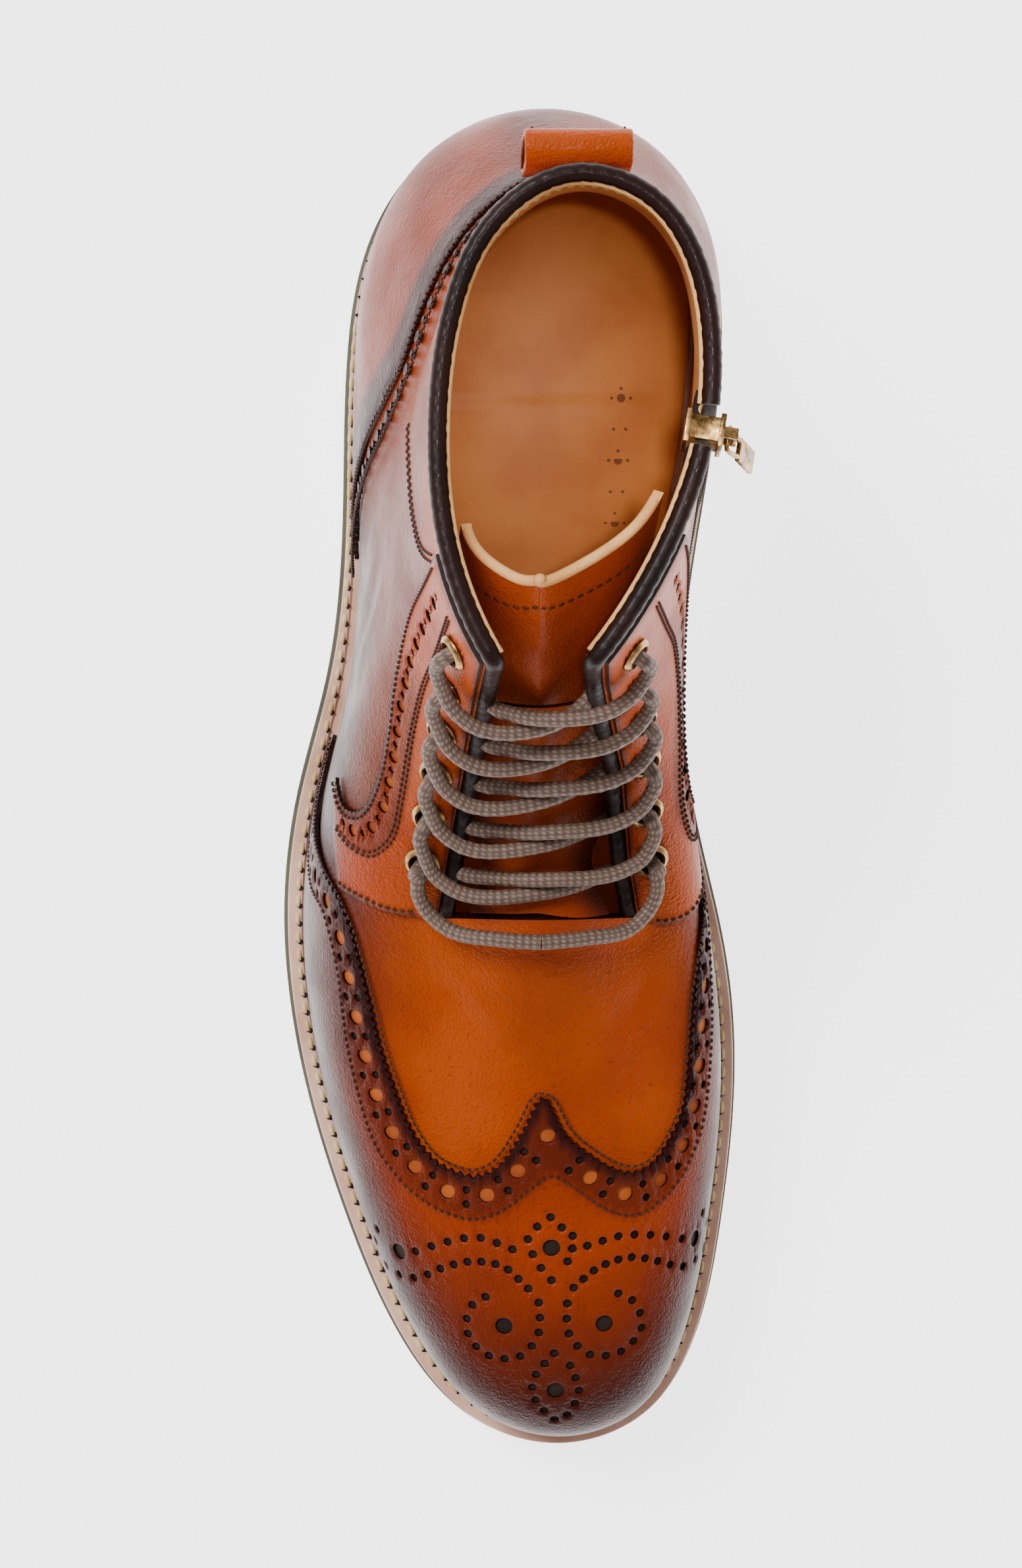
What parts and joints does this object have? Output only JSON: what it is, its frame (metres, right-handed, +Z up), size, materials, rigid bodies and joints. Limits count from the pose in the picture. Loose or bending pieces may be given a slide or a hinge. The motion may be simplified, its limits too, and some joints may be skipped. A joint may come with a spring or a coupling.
{
  "type": "brogue boot",
  "caption": "Right ankle boot with a winged, punched toe cap, laced derby front, side zip, pull loop and lugged rubber sole.",
  "frame": {"origin": "on the floor under the middle of the sole's length and width", "axes": "+Z up, -Y to the toe, +Y to the heel, +X to the inner side of the foot"},
  "size_m": [0.107, 0.312, 0.1637],
  "materials": {
    "upper_leather": "cognac calf leather, waxed to a soft gloss",
    "burnished_leather": "the same leather, burnished dark red brown at toe and heel",
    "binding": "dark brown rolled edge, glossy",
    "insole": "plain tan sock leather",
    "welt": "natural welt with cream stitches",
    "sole": "olive grey rubber, matt",
    "lace": "round waxed cord, braided",
    "brass": "antique brass, slightly worn",
    "zip_tape": "woven dark tape"
  },
  "bodies": {
    "boot": {"binding_lateral": "binding", "binding_medial": "binding", "eyelet_lateral_1": "brass", "eyelet_lateral_2": "brass", "eyelet_lateral_3": "brass", "eyelet_lateral_4": "brass", "eyelet_lateral_5": "brass", "eyelet_lateral_6": "brass", "eyelet_medial_1": "brass", "eyelet_medial_2": "brass", "eyelet_medial_3": "brass", "eyelet_medial_4": "brass", "eyelet_medial_5": "brass", "eyelet_medial_6": "brass", "eyestay_lateral": "upper_leather", "eyestay_medial": "upper_leather", "heel": "sole", "heel_counter": "burnished_leather", "insole": "insole", "lace_1": "lace", "lace_2": "lace", "lace_3": "lace", "lace_4": "lace", "lace_5": "lace", "lace_6": "lace", "midsole": "sole", "outsole": "sole", "pull_loop": "upper_leather", "tongue": "upper_leather", "upper": "upper_leather", "welt": "welt", "wing_cap": "burnished_leather", "zip_slider": "brass", "zip_tape": "zip_tape", "zip_teeth": "brass"},
    "zip_pull": {"zip_pull": "brass"}
  },
  "joints": [
    {"name": "pull_swing", "type": "hinge", "parent": "boot", "child": "zip_pull", "pos_m": [0.04284, 0.07819, 0.14648], "axis": [-0.16, -0.9623, 0.22], "range_deg": [-16, 150]}
  ]
}
